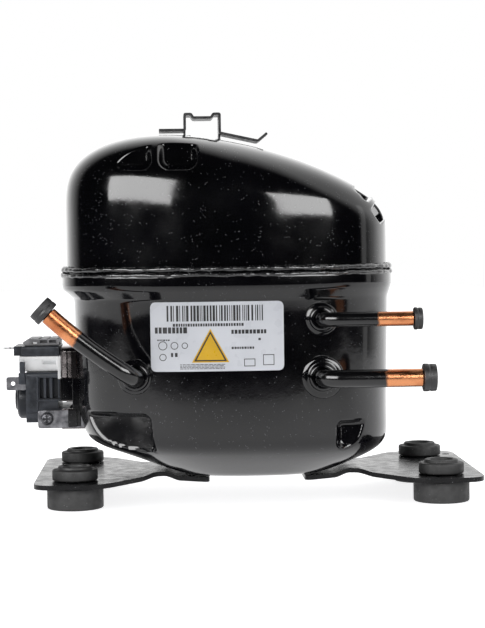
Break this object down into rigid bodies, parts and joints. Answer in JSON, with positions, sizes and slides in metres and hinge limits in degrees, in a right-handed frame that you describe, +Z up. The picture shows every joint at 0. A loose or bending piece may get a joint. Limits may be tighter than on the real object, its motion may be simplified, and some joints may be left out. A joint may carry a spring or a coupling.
{
  "type": "hermetic reciprocating compressor",
  "caption": "Sealed household refrigeration compressor: welded shell on rubber feet, capped tube stubs, plug-in starter, and a spring-hung motor with crank, piston and reed valves inside.",
  "frame": {"origin": "on the floor, under the middle of the whole object's box", "axes": "+X along the long side from the starter end to the connector end, +Y towards the back, +Z up; the labelled front faces -Y"},
  "size_m": [0.2234, 0.1488, 0.1832],
  "materials": {
    "black_paint": "glossy black stoving enamel with dust specks and spatter",
    "black_rubber": "matt black moulded rubber",
    "black_plastic": "moulded black phenolic",
    "white_plastic": "off-white moulded plastic",
    "grey_plastic": "grey moulded plastic",
    "label_film": null,
    "copper": "bare copper at the ends, black paint over the rest",
    "zinc_steel": "zinc-plated steel strip",
    "bright_steel": "bright steel",
    "cast_iron": "grey cast iron",
    "lamination": "electrical steel laminations",
    "enamelled_wire": "enamelled copper winding",
    "cast_aluminium": "die-cast aluminium",
    "glass_seal": "steel cup with glass-sealed pins"
  },
  "bodies": {
    "shell": {"upper_shell": "black_paint", "lower_shell": "black_paint", "left_base_bracket": "black_paint", "right_base_bracket": "black_paint", "left_front_grommet": "black_rubber", "left_rear_grommet": "black_rubber", "right_front_grommet": "black_rubber", "right_rear_grommet": "black_rubber", "discharge_tube": "copper", "suction_tube": "copper", "process_tube": "copper", "discharge_collar": "black_paint", "suction_collar": "black_paint", "process_collar": "black_paint", "rating_label": "label_film", "tray_clip": "zinc_steel", "hermetic_terminal": "glass_seal", "terminal_fence": "zinc_steel", "ground_tab": "zinc_steel", "ground_screw": "bright_steel", "front_left_spring": "bright_steel", "front_right_spring": "bright_steel", "rear_left_spring": "bright_steel", "rear_right_spring": "bright_steel"},
    "starter": {"starter_body": "black_plastic", "starter_housing": "white_plastic", "starter_lid": "black_plastic", "terminal_strip": "grey_plastic", "upper_spade": "bright_steel", "side_spade": "bright_steel", "overload_protector": "black_plastic"},
    "discharge_cap": {"discharge_cap": "black_rubber"},
    "suction_cap": {"suction_cap": "black_rubber"},
    "process_cap": {"process_cap": "black_rubber"},
    "pump_unit": {"stator_core": "lamination", "stator_winding": "enamelled_wire", "cylinder_block": "cast_iron", "head_gasket": "black_plastic", "valve_plate": "bright_steel", "cylinder_head": "cast_aluminium", "suction_muffler": "white_plastic", "discharge_line": "copper", "thrust_washer": "bright_steel", "front_left_stator_bolt": "zinc_steel", "front_right_stator_bolt": "zinc_steel", "rear_left_stator_bolt": "zinc_steel", "rear_right_stator_bolt": "zinc_steel", "lower_front_head_bolt": "zinc_steel", "lower_rear_head_bolt": "zinc_steel", "upper_front_head_bolt": "zinc_steel", "upper_rear_head_bolt": "zinc_steel"},
    "crankshaft": {"crankshaft": "cast_iron", "rotor": "cast_aluminium", "oil_pickup": "zinc_steel"},
    "piston": {"piston": "cast_iron", "wrist_pin": "bright_steel"},
    "connecting_rod": {"connecting_rod": "cast_aluminium", "crank_pin": "cast_iron"},
    "suction_reed": {"suction_reed": "bright_steel"},
    "discharge_reed": {"discharge_reed": "bright_steel"}
  },
  "joints": [
    {"name": "pump_bounce", "type": "slide", "parent": "shell", "child": "pump_unit", "axis": [0, 0, 1], "range_m": [-0.0015, 0.0015], "stiffness_N_per_m": 24000, "springref_m": 0.00157, "deforming": ["front_left_spring", "front_right_spring", "rear_left_spring", "rear_right_spring", "discharge_line"]},
    {"name": "crank_turn", "type": "hinge", "parent": "pump_unit", "child": "crankshaft", "pos_m": [0.00025, 0.0053, 0.1], "axis": [0, 0, 1], "continuous": true},
    {"name": "piston_stroke", "type": "slide", "parent": "pump_unit", "child": "piston", "axis": [-1, 0, 0], "range_m": [0, 0.016]},
    {"name": "rod_swing", "type": "hinge", "parent": "piston", "child": "connecting_rod", "pos_m": [-0.02175, 0.0053, 0.1355], "axis": [0, 0, 1], "range_deg": [-15.5, 15.5]},
    {"name": "suction_reed_lift", "type": "hinge", "parent": "pump_unit", "child": "suction_reed", "pos_m": [-0.04995, 0.0108, 0.127], "axis": [0, 1, 0], "range_deg": [0, 3], "stiffness_Nm_per_rad": 0.01, "springref_deg": -2.86},
    {"name": "discharge_reed_lift", "type": "hinge", "parent": "pump_unit", "child": "discharge_reed", "pos_m": [-0.05395, -0.0002, 0.127], "axis": [0, -1, 0], "range_deg": [0, 3], "stiffness_Nm_per_rad": 0.01, "springref_deg": -2.86},
    {"name": "discharge_cap_pull", "type": "slide", "parent": "shell", "child": "discharge_cap", "axis": [1, 0, 0], "range_m": [0, 0.015]},
    {"name": "suction_cap_pull", "type": "slide", "parent": "shell", "child": "suction_cap", "axis": [1, 0, 0], "range_m": [0, 0.015]},
    {"name": "process_cap_pull", "type": "slide", "parent": "shell", "child": "process_cap", "axis": [-0.7305, 0, 0.6829], "range_m": [0, 0.015]},
    {"name": "starter_unplug", "type": "slide", "parent": "shell", "child": "starter", "axis": [-1, 0, 0], "range_m": [0, 0.02]}
  ]
}
